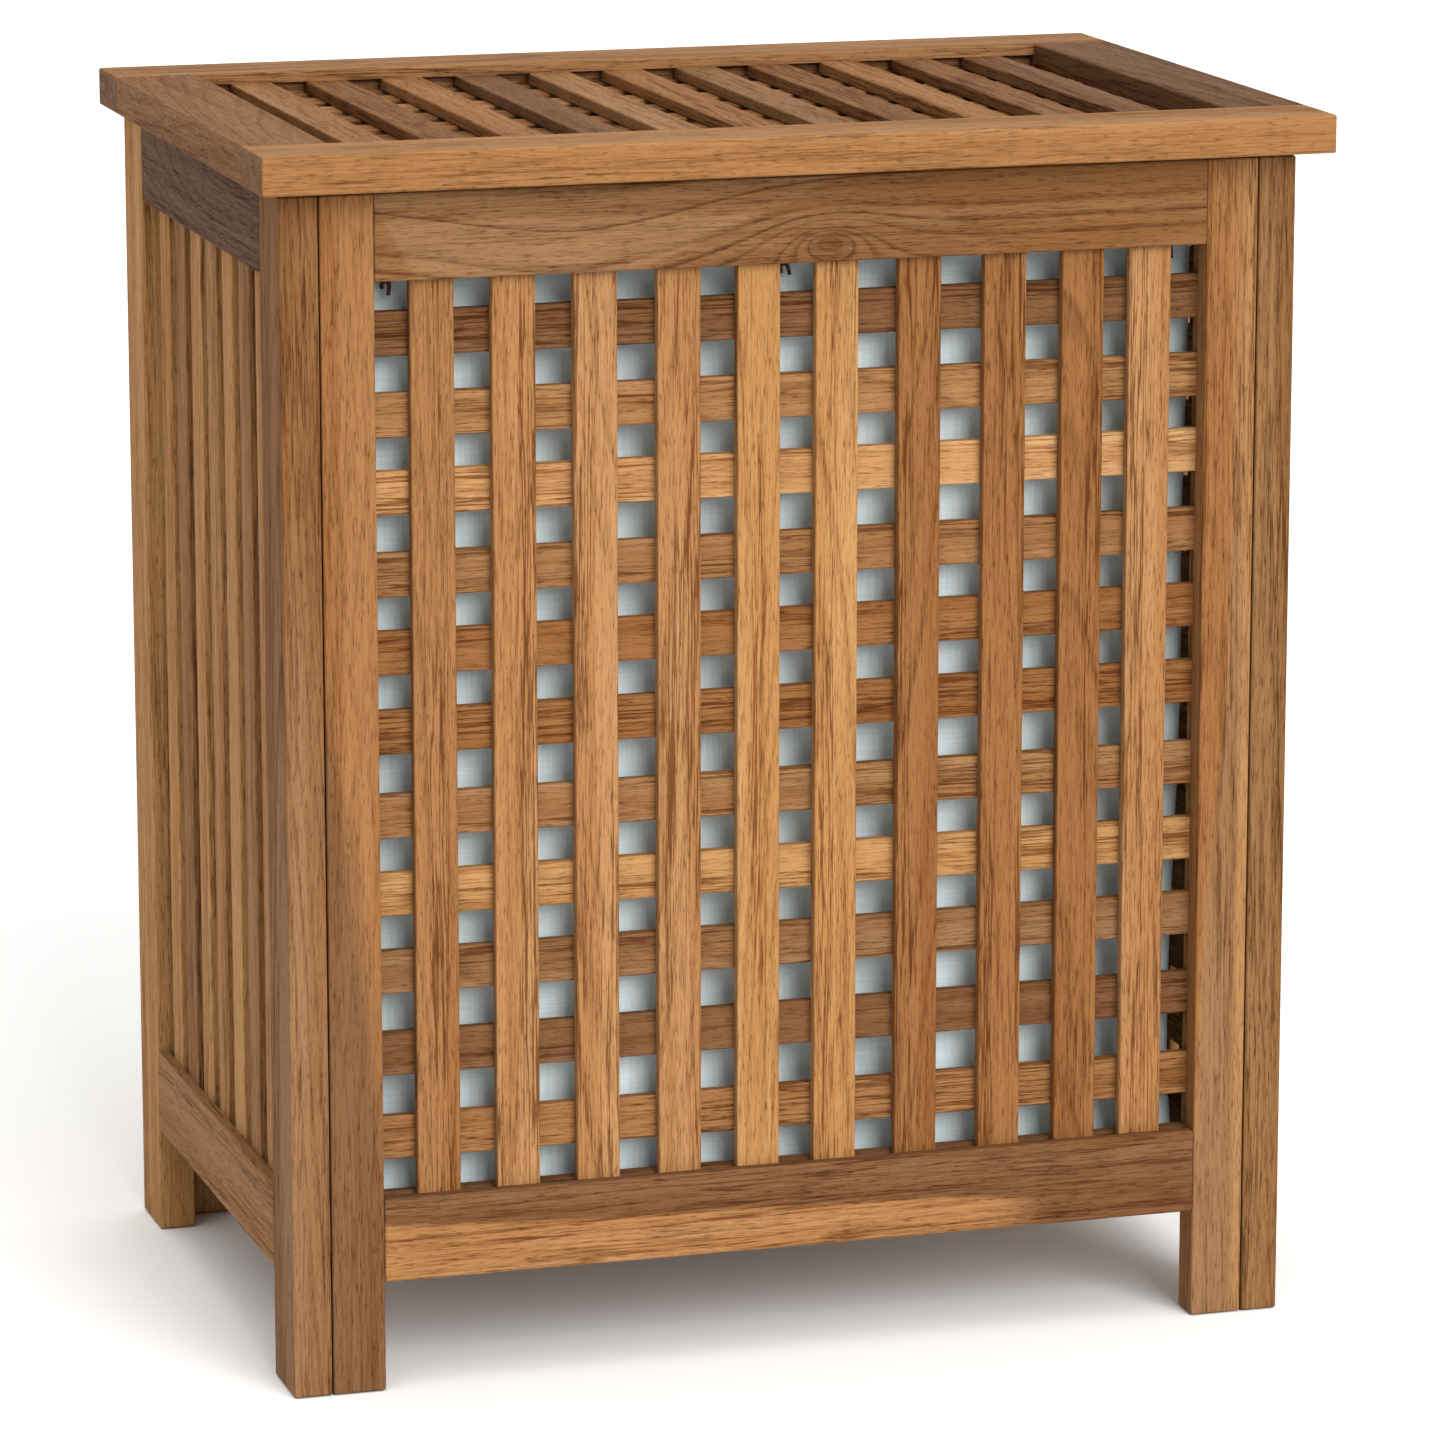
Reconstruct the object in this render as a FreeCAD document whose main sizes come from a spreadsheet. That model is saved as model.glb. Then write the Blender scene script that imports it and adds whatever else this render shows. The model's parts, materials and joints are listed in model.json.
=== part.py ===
"""Teak laundry hamper: four lattice walls, a slatted base, a hinged lattice lid and a hung cotton bag.

Millimetres, +Z up, the front faces -Y. The origin is on the floor, under the middle of the hamper.
"""
import FreeCAD, Part
import Sketcher
import os
from collections import defaultdict

doc = FreeCAD.newDocument("laundry_hamper")

# ---------------------------------------------------------------- driving dimensions
DIMENSIONS = (
    # overall
    ("lid_width", 510, "lid, left to right"),
    ("lid_depth", 346, "lid, front to back"),
    ("full_height", 580, "floor to the top of the lid"),
    ("side_overhang", 12, "lid past each side wall"),
    ("front_overhang", 20, "lid past the front wall"),
    ("lid_gap", 3, "between body and lid, filled by the hinge leaves"),
    ("wall_gap", 0.7, "between a side wall and the front or rear wall"),
    ("leg_clearance", 52, "floor to the bottom rails"),
    # frame timber
    ("board", 18, "thickness of every frame member"),
    ("rail_width", 40, "rails, and the lid's stiles"),
    ("front_stile", 25, "stiles of the front and rear walls"),
    ("side_stile", 39, "stiles of the side walls"),
    ("tenon_length", 12, "tenon let into a stile or rail"),
    ("tenon_thickness", 6, "tenon let into a stile or rail"),
    ("tenon_width", 28, "tenon let into a stile or rail"),
    ("arris", 1.2, "rounding along the edges of a frame member"),
    # lattice
    ("slat_width", 20.5, "lattice slat"),
    ("slat_thickness", 6, "lattice slat"),
    ("slat_recess", 5.5, "outer face of the frame to the lattice"),
    ("slat_bite", 6, "slat's end let into the frame's groove"),
    ("slat_arris", 0.9, "rounding along the edges of a slat"),
    # base
    ("base_height", 56, "floor to the cleats"),
    ("cleat", 15, "square strip under the base boards"),
    ("cleat_length", 440, "square strip under the base boards"),
    ("base_board_width", 40, "base board"),
    ("base_board_thickness", 8, "base board"),
    ("base_board_pitch", 57, "base board to base board"),
    ("base_board_length", 286, "base board, front to back"),
    # dowels and screws
    ("dowel_radius", 3, "dowel between two walls"),
    ("dowel_in_side", 10, "dowel's end in a side wall"),
    ("dowel_in_front", 11, "dowel's end in the front or rear wall"),
    ("shank_radius", 1.4, "countersunk screw"),
    ("head_radius", 2.7, "countersunk screw"),
    ("head_height", 1.3, "countersunk screw"),
    ("hinge_screw_length", 14, "screw through a hinge leaf"),
    ("hinge_screw_pitch", 17, "hinge screw to hinge screw"),
    ("cleat_screw_length", 26, "screw through a cleat into its rail"),
    ("base_screw_length", 16, "screw through a base board into its cleat"),
    # hinges
    ("hinge_offset", 150, "middle of a hinge from the middle of the hamper"),
    ("leaf_length", 50, "hinge leaf, along the pin"),
    ("leaf_depth", 16, "hinge leaf, from its edge to the back of the hamper"),
    ("leaf_thickness", 1.3, "hinge leaf"),
    ("leaf_setback", 0.5, "leaf's plain edge kept clear of the other leaf's knuckle"),
    ("knuckle_radius", 3, "hinge knuckle"),
    ("knuckle_gap", 0.4, "knuckle to knuckle"),
    ("middle_knuckle", 20, "the lid leaf's knuckle, along the pin"),
    ("pin_radius", 1.25, "hinge pin"),
    ("pin_clearance", 0.05, "round the hinge pin"),
    ("pin_head_radius", 2, "end of the hinge pin"),
    ("pin_head", 0.8, "end of the hinge pin"),
    # lid bumpers, bag and the bag's fittings
    ("bumper_radius", 5, "rubber bumper under a front corner of the lid"),
    ("bumper_height", 2.7, "rubber bumper under a front corner of the lid"),
    ("bag_width", 410, "bag, left to right"),
    ("bag_depth", 270, "bag, front to back"),
    ("bag_height", 468, "bag, from the base boards to its hem"),
    ("bag_wall", 1.5, "the bag's cloth with its folds"),
    ("bag_corner", 12, "upright corner of the bag"),
    ("eye_ring", 3.2, "screw eye, to the middle of its wire"),
    ("eye_wire", 0.8, "radius of the screw eye's wire"),
    ("eye_stem", 9, "screw eye's stem in its rail"),
    ("eye_stand", 1, "rail to the screw eye's ring"),
    ("eye_drop", 11, "screw eye below the middle of its rail"),
    ("eye_offset", 188, "outer screw eyes from the middle of the front"),
    ("tie_width", 7, "knotted tie below a screw eye"),
    ("tie_height", 12, "knotted tie below a screw eye"),
    ("tie_depth", 5, "knotted tie below a screw eye"),
)

sizes = doc.addObject("Spreadsheet::Sheet", "Sizes")
for row, (alias, value, note) in enumerate(DIMENSIONS, start=1):
    sizes.set(f"A{row}", note)
    sizes.set(f"B{row}", str(value))
    sizes.setAlias(f"B{row}", alias)
doc.recompute()

# How many slats and boards each layer has.
FRONT_UPRIGHTS = 10
SIDE_UPRIGHTS = 7
CROSS_SLATS = 11
LID_UPPER_SLATS = 11
LID_LOWER_SLATS = 7
BASE_BOARDS = 8

# The front lattice was laid by hand: how far each slat sits from even spacing, in millimetres.
FRONT_UPRIGHT_DRIFT = (0, 0, 0.5, 2, 2, 1.5, 3.5, 7, 7, 2)
FRONT_CROSS_DRIFT = (-1, 1.5, 3, 2.5, 2, 4, 3.5, 2.5, 3, 1.5, 1.5)

DOWEL_HEIGHTS = (140, 300, 460)
CLEAT_SCREW_PLACES = (-150, 0, 150)

# Places that several sub-parts share, as expressions over the sheet.
BODY_HALF = "(Sizes.lid_width / 2 - Sizes.side_overhang)"
INNER_HALF = f"({BODY_HALF} - Sizes.board)"
FRAME_HALF = f"({INNER_HALF} - Sizes.wall_gap)"
BODY_TOP = "(Sizes.full_height - Sizes.board - Sizes.lid_gap)"
LID_FRONT = "(-Sizes.lid_depth / 2 - Sizes.knuckle_radius)"
BODY_FRONT = f"({LID_FRONT} + Sizes.front_overhang)"
BODY_BACK = f"({LID_FRONT} + Sizes.lid_depth)"
MIDDLE_Y = f"(({BODY_FRONT} + {BODY_BACK}) / 2)"
LOW_RAIL = "Sizes.leg_clearance"
OPENING_LOW = f"({LOW_RAIL} + Sizes.rail_width)"
HIGH_RAIL = f"({BODY_TOP} - Sizes.rail_width)"
OPENING_HEIGHT = f"({HIGH_RAIL} - {OPENING_LOW})"
TENON_EDGE = "(Sizes.rail_width - Sizes.tenon_width) / 2"
EYE_HEIGHT = f"({HIGH_RAIL} + Sizes.rail_width / 2 - Sizes.eye_drop)"
BASE_TOP = "(Sizes.base_height + Sizes.cleat + Sizes.base_board_thickness)"
PIN_Y = f"({BODY_BACK} + Sizes.knuckle_radius)"
PIN_Z = f"({BODY_TOP} + Sizes.lid_gap / 2)"

# Depth below a frame's outer face: a start and a thickness.
WHOLE_BOARD = ("0", "Sizes.board")
TENON_LAYER = ("(Sizes.board - Sizes.tenon_thickness) / 2", "Sizes.tenon_thickness")
OUTER_LAYER = ("Sizes.slat_recess", "Sizes.slat_thickness")
INNER_LAYER = ("(Sizes.slat_recess + Sizes.slat_thickness)", "Sizes.slat_thickness")

# Roundings, which a fillet takes as numbers.
ARRIS = sizes.get("arris")
SLAT_ARRIS = sizes.get("slat_arris")

# Finished sub-parts, and the fasteners that pass through each of them.
parts = []
fasteners_in = defaultdict(list)


# ---------------------------------------------------------------- building blocks
def box(name, size, corner):
    """A block, from its three sizes and its lowest corner."""
    block = doc.addObject("Part::Box", name)
    for prop, text in zip(("Length", "Width", "Height"), size):
        block.setExpression(prop, text)
    for axis, text in zip("xyz", corner):
        block.setExpression(f"Placement.Base.{axis}", str(text))
    return block


def turned(kind, name, start, direction, **bound):
    """A cylinder, cone or ring from start along a direction, with its own sizes bound."""
    piece = doc.addObject(f"Part::{kind}", name)
    for prop, text in bound.items():
        piece.setExpression(prop, text)
    piece.Placement.Rotation = FreeCAD.Rotation(FreeCAD.Vector(0, 0, 1), FreeCAD.Vector(*direction))
    for axis, text in zip("xyz", start):
        piece.setExpression(f"Placement.Base.{axis}", str(text))
    return piece


def fuse(name, pieces):
    """One solid out of pieces that touch or cross."""
    whole = doc.addObject("Part::MultiFuse", name)
    whole.Shapes = pieces
    return whole


def cut(name, blank, tools):
    """A blank less each of its tools."""
    for number, tool in enumerate(tools):
        remainder = doc.addObject("Part::Cut", f"{name}_cut_{number}")
        remainder.Base = blank
        remainder.Tool = tool
        blank = remainder
    return blank


def rounded(blank, radius):
    """A block with all twelve of its edges rounded."""
    softened = doc.addObject("Part::Fillet", f"{blank.Name}_rounded")
    softened.Base = blank
    softened.Edges = [(edge, radius, radius) for edge in range(1, 13)]
    return softened


def group(name, pieces):
    """Separate solids that share one node."""
    together = doc.addObject("Part::Compound", f"{name}_group")
    together.Links = pieces
    return together


def keep(label, shape_object):
    """Puts a finished sub-part on the list, less the fasteners that pass through it."""
    finished = cut(label, shape_object, fasteners_in[label])
    finished.Label = label
    parts.append(finished)


class Frame:
    """A flat frame: u runs along it, v up it (or back, on the lid) and w inwards from its outer face."""

    def __init__(self, axes, outer_face, inwards):
        self.axes = axes
        self.outer_face = outer_face
        self.inwards = inwards

    def in_order(self, u, v, w):
        """Puts three values given along u, v and w in X, Y, Z order."""
        by_axis = dict(zip(self.axes, (u, v, w)))
        return [by_axis[axis] for axis in "xyz"]

    def point(self, u, v, w):
        """A point, w inside the outer face."""
        sign = "+" if self.inwards > 0 else "-"
        return self.in_order(u, v, f"{self.outer_face} {sign} {w}")

    def block(self, name, u, v, w):
        """A block, with u, v and w each a start and a size."""
        depth = w[0] if self.inwards > 0 else f"({w[0]} + {w[1]})"
        return box(name, self.in_order(u[1], v[1], w[1]), self.point(u[0], v[0], depth))

    def member(self, name, u, v):
        """The blank of a stile or rail: a block of board with softened edges."""
        return rounded(self.block(f"{name}_blank", u, v, WHOLE_BOARD), ARRIS)

    def slat(self, name, u, v, layer):
        """A lattice slat with softened edges."""
        return rounded(self.block(name, u, v, layer), SLAT_ARRIS)

    def outwards(self):
        """The direction out of the hamper, square to the frame."""
        return self.in_order(0, 0, -self.inwards)


FRONT = Frame("xzy", BODY_FRONT, 1)
REAR = Frame("xzy", BODY_BACK, -1)
LEFT = Frame("yzx", f"(-{BODY_HALF})", 1)
RIGHT = Frame("yzx", BODY_HALF, -1)
LID = Frame("xyz", "Sizes.full_height", -1)


# ---------------------------------------------------------------- fasteners
def screw(name, head, direction, length, members):
    """A countersunk wood screw whose head's face is at head. It passes through the named members."""
    cone = turned(
        "Cone", f"{name}_head", head, direction,
        Radius1="Sizes.head_radius", Radius2="Sizes.shank_radius", Height="Sizes.head_height",
    )
    shank = turned(
        "Cylinder", f"{name}_shank", head, direction, Radius="Sizes.shank_radius", Height=length
    )
    whole = fuse(name, [cone, shank])
    for member in members:
        fasteners_in[member].append(whole)
    return whole


def make_dowels():
    """Three dowels across each corner, between a side wall's stile and the next wall's stile."""
    dowels = []
    for side, sign in (("left", -1), ("right", 1)):
        for face, frame in (("front", FRONT), ("rear", REAR)):
            for height in DOWEL_HEIGHTS:
                start = frame.point(
                    f"{sign} * ({FRAME_HALF} - Sizes.dowel_in_front)", height, "Sizes.board / 2"
                )
                dowel = turned(
                    "Cylinder", f"dowel_{face}_{side}_{height}", start, (sign, 0, 0),
                    Radius="Sizes.dowel_radius",
                    Height="Sizes.dowel_in_front + Sizes.wall_gap + Sizes.dowel_in_side",
                )
                fasteners_in[f"{side}_{face}_stile"].append(dowel)
                fasteners_in[f"{face}_{side}_stile"].append(dowel)
                dowels.append(dowel)
    keep("corner_dowels", group("corner_dowels", dowels))


def make_bag_eyes():
    """Screw eyes in the top rails' inner faces, each with the bag's knotted tie below it."""
    rings = []
    knots = []
    places = [
        (wall, frame, f"{side} * Sizes.eye_offset")
        for wall, frame in (("front", FRONT), ("rear", REAR))
        for side in (-1, 0, 1)
    ]
    places += [("left", LEFT, MIDDLE_Y), ("right", RIGHT, MIDDLE_Y)]
    for number, (wall, frame, along) in enumerate(places):
        reach = "(Sizes.board + Sizes.eye_stand + Sizes.eye_wire + Sizes.eye_ring)"
        ring = turned(
            "Torus", f"eye_ring_{number}", frame.point(along, EYE_HEIGHT, reach),
            frame.in_order(1, 0, 0), Radius1="Sizes.eye_ring", Radius2="Sizes.eye_wire",
        )
        stem = turned(
            "Cylinder", f"eye_stem_{number}",
            frame.point(along, EYE_HEIGHT, "(Sizes.board + Sizes.eye_stand + Sizes.eye_wire)"),
            frame.outwards(), Radius="Sizes.eye_wire",
            Height="Sizes.eye_stand + Sizes.eye_wire + Sizes.eye_stem",
        )
        fasteners_in[f"{wall}_top_rail"].append(stem)
        rings.append(fuse(f"eye_{number}", [ring, stem]))
        below_ring = f"({EYE_HEIGHT} - Sizes.eye_ring - Sizes.eye_wire - Sizes.tie_height)"
        knots.append(
            frame.block(
                f"tie_{number}",
                (f"{along} - Sizes.tie_width / 2", "Sizes.tie_width"),
                (below_ring, "Sizes.tie_height"),
                ("(Sizes.board + Sizes.eye_stand)", "Sizes.tie_depth"),
            )
        )
    keep("bag_eyes", group("bag_eyes", rings))
    keep("bag_ties", group("bag_ties", knots))


def make_hinge_screws():
    """Three screws in every hinge leaf: down into the body, and up into the lid."""
    layers = (
        ("body", f"{BODY_TOP} + Sizes.leaf_thickness", -1, "rear_top_rail"),
        ("lid", f"{BODY_TOP} + Sizes.lid_gap - Sizes.leaf_thickness", 1, "lid_rear_rail"),
    )
    for layer, head_z, up, timber in layers:
        screws = []
        for side, sign in (("left", -1), ("right", 1)):
            for step in (-1, 0, 1):
                head = (
                    f"{sign} * Sizes.hinge_offset + {step} * Sizes.hinge_screw_pitch",
                    f"{BODY_BACK} - Sizes.leaf_depth / 2",
                    head_z,
                )
                screws.append(
                    screw(
                        f"{layer}_hinge_screw_{side}_{step + 1}", head, (0, 0, up),
                        "Sizes.hinge_screw_length", (timber, f"{side}_hinge_{layer}_leaf"),
                    )
                )
        label = f"{layer}_hinge_screws"
        keep(label, group(label, screws))


def board_middle(number):
    """The middle of one base board."""
    return f"({number} - {(BASE_BOARDS - 1) / 2}) * Sizes.base_board_pitch"


def make_base_screws():
    """The screws that hold the cleats to the walls and the base boards to the cleats."""
    cleat_screws = []
    board_screws = []
    for face, frame in (("front", FRONT), ("rear", REAR)):
        for number, along in enumerate(CLEAT_SCREW_PLACES):
            head = frame.point(along, "Sizes.base_height + Sizes.cleat / 2", "(Sizes.board + Sizes.cleat)")
            cleat_screws.append(
                screw(
                    f"cleat_screw_{face}_{number}", head, frame.outwards(),
                    "Sizes.cleat_screw_length", (f"{face}_bottom_rail", f"{face}_base_cleat"),
                )
            )
        for number in range(BASE_BOARDS):
            head = frame.point(board_middle(number), BASE_TOP, "(Sizes.board + Sizes.cleat / 2)")
            board_screws.append(
                screw(
                    f"board_screw_{face}_{number}", head, (0, 0, -1),
                    "Sizes.base_screw_length", (f"{face}_base_cleat", "base_boards"),
                )
            )
    keep("cleat_screws", group("cleat_screws", cleat_screws))
    keep("base_board_screws", group("base_board_screws", board_screws))


# ---------------------------------------------------------------- frame members
def rail(name, frame, start, length, low, groove_low):
    """A tenoned rail, grooved along one edge for the ends of the outer slats."""
    blank = frame.member(name, (start, length), (low, "Sizes.rail_width"))
    tenon_v = (f"({low} + {TENON_EDGE})", "Sizes.tenon_width")
    ends = (f"({start} - Sizes.tenon_length)", f"({start} + {length})")
    tenons = [
        frame.block(f"{name}_tenon_{number}", (end, "Sizes.tenon_length"), tenon_v, TENON_LAYER)
        for number, end in enumerate(ends)
    ]
    groove = frame.block(f"{name}_groove", (start, length), (groove_low, "Sizes.slat_bite"), OUTER_LAYER)
    keep(name, cut(f"{name}_grooved", fuse(f"{name}_whole", [blank] + tenons), [groove]))


def stile(name, frame, start, width, lattice_after):
    """A leg-long stile with two mortises, grooved between them for the ends of the inner slats."""
    blank = frame.member(name, (start, width), ("0", BODY_TOP))

    def let_in(depth):
        """Something let into the edge that faces the lattice."""
        return (f"({start} + {width} - {depth})" if lattice_after else start, depth)

    tools = [
        frame.block(
            f"{name}_mortise_{number}", let_in("Sizes.tenon_length"),
            (f"({low} + {TENON_EDGE})", "Sizes.tenon_width"), TENON_LAYER,
        )
        for number, low in enumerate((LOW_RAIL, HIGH_RAIL))
    ]
    groove_v = (OPENING_LOW, OPENING_HEIGHT)
    tools.append(frame.block(f"{name}_groove", let_in("Sizes.slat_bite"), groove_v, INNER_LAYER))
    keep(name, cut(f"{name}_let_in", blank, tools))


def slat_starts(low, span, count, drift=None):
    """Where each of count slats starts, spread evenly over a span and moved by its drift."""
    gap = f"({span} - {count} * Sizes.slat_width) / {count + 1}"
    return [
        f"({low} + {number + 1} * {gap} + {number} * Sizes.slat_width + {offset})"
        for number, offset in enumerate(drift or [0] * count)
    ]


def upright_slats(name, frame, span_u, span_v, count, layer, drift=None):
    """A layer of slats that run along v, with their ends let into the rails."""
    v = (f"({span_v[0]} - Sizes.slat_bite)", f"{span_v[1]} + 2 * Sizes.slat_bite")
    pieces = [
        frame.slat(f"{name}_{number}", (start, "Sizes.slat_width"), v, layer)
        for number, start in enumerate(slat_starts(*span_u, count, drift))
    ]
    keep(name, group(name, pieces))


def cross_slats(name, frame, span_u, span_v, count, layer, drift=None):
    """A layer of slats that run along u, with their ends let into the stiles."""
    u = (f"({span_u[0]} - Sizes.slat_bite)", f"{span_u[1]} + 2 * Sizes.slat_bite")
    pieces = [
        frame.slat(f"{name}_{number}", u, (start, "Sizes.slat_width"), layer)
        for number, start in enumerate(slat_starts(*span_v, count, drift))
    ]
    keep(name, group(name, pieces))


def wall(
    name, frame, low_u, high_u, stile_width, stile_names, uprights, upright_drift=None, cross_drift=None
):
    """A wall: two stiles that reach the floor, two rails, and upright slats over cross slats."""
    inner_u = f"({low_u} + {stile_width})"
    inner_width = f"({high_u} - {low_u} - 2 * {stile_width})"
    opening = ((inner_u, inner_width), (OPENING_LOW, OPENING_HEIGHT))
    stile(f"{name}_{stile_names[0]}_stile", frame, low_u, stile_width, True)
    stile(f"{name}_{stile_names[1]}_stile", frame, f"({high_u} - {stile_width})", stile_width, False)
    rail(f"{name}_top_rail", frame, inner_u, inner_width, HIGH_RAIL, HIGH_RAIL)
    rail(f"{name}_bottom_rail", frame, inner_u, inner_width, LOW_RAIL, f"({OPENING_LOW} - Sizes.slat_bite)")
    upright_slats(f"{name}_upright_slats", frame, *opening, uprights, OUTER_LAYER, upright_drift)
    cross_slats(f"{name}_cross_slats", frame, *opening, CROSS_SLATS, INNER_LAYER, cross_drift)


# ---------------------------------------------------------------- lid
def make_lid():
    """Rails along the front and back, stiles tenoned between them, and a lattice of two layers."""
    left = "(-Sizes.lid_width / 2)"
    inner_left = f"({left} + Sizes.rail_width)"
    inner_width = "(Sizes.lid_width - 2 * Sizes.rail_width)"
    inner_front = f"({LID_FRONT} + Sizes.rail_width)"
    inner_depth = "(Sizes.lid_depth - 2 * Sizes.rail_width)"
    inner_back = f"({inner_front} + {inner_depth})"
    opening = ((inner_left, inner_width), (inner_front, inner_depth))
    stile_starts = (("left", left), ("right", f"({inner_left} + {inner_width})"))

    mortise_front = f"({inner_front} - Sizes.tenon_length)"
    groove_front = f"({inner_front} - Sizes.slat_bite)"
    rails = (
        ("lid_front_rail", LID_FRONT, mortise_front, groove_front),
        ("lid_rear_rail", inner_back, inner_back, inner_back),
    )
    for name, low, mortise_low, groove_low in rails:
        blank = LID.member(name, (left, "Sizes.lid_width"), (low, "Sizes.rail_width"))
        tools = [
            LID.block(
                f"{name}_mortise_{side}", (f"({start} + {TENON_EDGE})", "Sizes.tenon_width"),
                (mortise_low, "Sizes.tenon_length"), TENON_LAYER,
            )
            for side, start in stile_starts
        ]
        groove_v = (groove_low, "Sizes.slat_bite")
        tools.append(LID.block(f"{name}_groove", (inner_left, inner_width), groove_v, OUTER_LAYER))
        keep(name, cut(f"{name}_let_in", blank, tools))

    for side, start in stile_starts:
        name = f"lid_{side}_stile"
        blank = LID.member(name, (start, "Sizes.rail_width"), (inner_front, inner_depth))
        tenon_u = (f"({start} + {TENON_EDGE})", "Sizes.tenon_width")
        tenons = [
            LID.block(f"{name}_tenon_{number}", tenon_u, (end, "Sizes.tenon_length"), TENON_LAYER)
            for number, end in enumerate((mortise_front, inner_back))
        ]
        groove_u = f"({inner_left} - Sizes.slat_bite)" if side == "left" else start
        groove = LID.block(
            f"{name}_groove", (groove_u, "Sizes.slat_bite"), (inner_front, inner_depth), INNER_LAYER
        )
        keep(name, cut(f"{name}_grooved", fuse(f"{name}_whole", [blank] + tenons), [groove]))

    upright_slats("lid_upper_slats", LID, *opening, LID_UPPER_SLATS, OUTER_LAYER)
    cross_slats("lid_lower_slats", LID, *opening, LID_LOWER_SLATS, INNER_LAYER)


# ---------------------------------------------------------------- hinges
def make_hinge(side, sign):
    """A butt hinge whose leaves lie flat in the gap, with its knuckles behind the hamper."""
    middle = f"{sign} * Sizes.hinge_offset"
    low_end = f"({middle} - Sizes.leaf_length / 2)"
    plate_y = f"({BODY_BACK} - Sizes.leaf_depth)"
    plate_depth = "Sizes.leaf_depth - Sizes.leaf_setback"
    outer_length = "((Sizes.leaf_length - Sizes.middle_knuckle) / 2 - Sizes.knuckle_gap)"
    outer_high = f"({middle} + Sizes.middle_knuckle / 2 + Sizes.knuckle_gap)"
    knuckles = {
        "body": [(low_end, outer_length), (outer_high, outer_length)],
        "lid": [(f"({middle} - Sizes.middle_knuckle / 2)", "Sizes.middle_knuckle")],
    }
    plate_z = {"body": BODY_TOP, "lid": f"({BODY_TOP} + Sizes.lid_gap - Sizes.leaf_thickness)"}
    for layer in ("body", "lid"):
        name = f"{side}_hinge_{layer}_leaf"
        pieces = [
            box(
                f"{name}_plate", ("Sizes.leaf_length", plate_depth, "Sizes.leaf_thickness"),
                (low_end, plate_y, plate_z[layer]),
            )
        ]
        for number, (start, length) in enumerate(knuckles[layer]):
            web = (length, "Sizes.knuckle_radius + Sizes.leaf_setback", "Sizes.leaf_thickness")
            pieces.append(
                box(f"{name}_web_{number}", web, (start, f"{BODY_BACK} - Sizes.leaf_setback", plate_z[layer]))
            )
            pieces.append(
                turned(
                    "Cylinder", f"{name}_knuckle_{number}", (start, PIN_Y, PIN_Z), (1, 0, 0),
                    Radius="Sizes.knuckle_radius", Height=length,
                )
            )
        bore = turned(
            "Cylinder", f"{name}_bore", (low_end, PIN_Y, PIN_Z), (1, 0, 0),
            Radius="Sizes.pin_radius + Sizes.pin_clearance", Height="Sizes.leaf_length",
        )
        keep(name, cut(f"{name}_bored", fuse(f"{name}_whole", pieces), [bore]))

    pin = turned(
        "Cylinder", f"{side}_pin_shaft", (low_end, PIN_Y, PIN_Z), (1, 0, 0),
        Radius="Sizes.pin_radius", Height="Sizes.leaf_length",
    )
    heads = [
        turned(
            "Cylinder", f"{side}_pin_head_{number}", (start, PIN_Y, PIN_Z), (1, 0, 0),
            Radius="Sizes.pin_head_radius", Height="Sizes.pin_head",
        )
        for number, start in enumerate((f"{low_end} - Sizes.pin_head", f"{low_end} + Sizes.leaf_length"))
    ]
    keep(f"{side}_hinge_pin", fuse(f"{side}_pin_whole", [pin] + heads))


# ---------------------------------------------------------------- base, bumpers and bag
def rectangle_sketch(body, name, width, depth):
    """A rectangle round the origin on its body's own ground plane, with its sides bound."""
    ground = next(plane for plane in body.Origin.OriginFeatures if plane.Role == "XY_Plane")
    sketch = body.newObject("Sketcher::SketchObject", name)
    sketch.AttachmentSupport = [(ground, "")]
    sketch.MapMode = "FlatFace"
    corners = [FreeCAD.Vector(x, y, 0) for x, y in ((-1, -1), (1, -1), (1, 1), (-1, 1))]
    for number, corner in enumerate(corners):
        sketch.addGeometry(Part.LineSegment(corner, corners[(number + 1) % 4]), False)
    for number in range(4):
        sketch.addConstraint(Sketcher.Constraint("Coincident", number, 2, (number + 1) % 4, 1))
    for number, direction in enumerate(("Horizontal", "Vertical", "Horizontal", "Vertical")):
        sketch.addConstraint(Sketcher.Constraint(direction, number))
    sketch.addConstraint(Sketcher.Constraint("Symmetric", 0, 1, 1, 2, -1, 1))
    wide = sketch.addConstraint(Sketcher.Constraint("DistanceX", 0, 1, 0, 2, 2))
    deep = sketch.addConstraint(Sketcher.Constraint("DistanceY", 1, 1, 1, 2, 2))
    sketch.setExpression(f"Constraints[{wide}]", width)
    sketch.setExpression(f"Constraints[{deep}]", depth)
    return sketch


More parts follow.
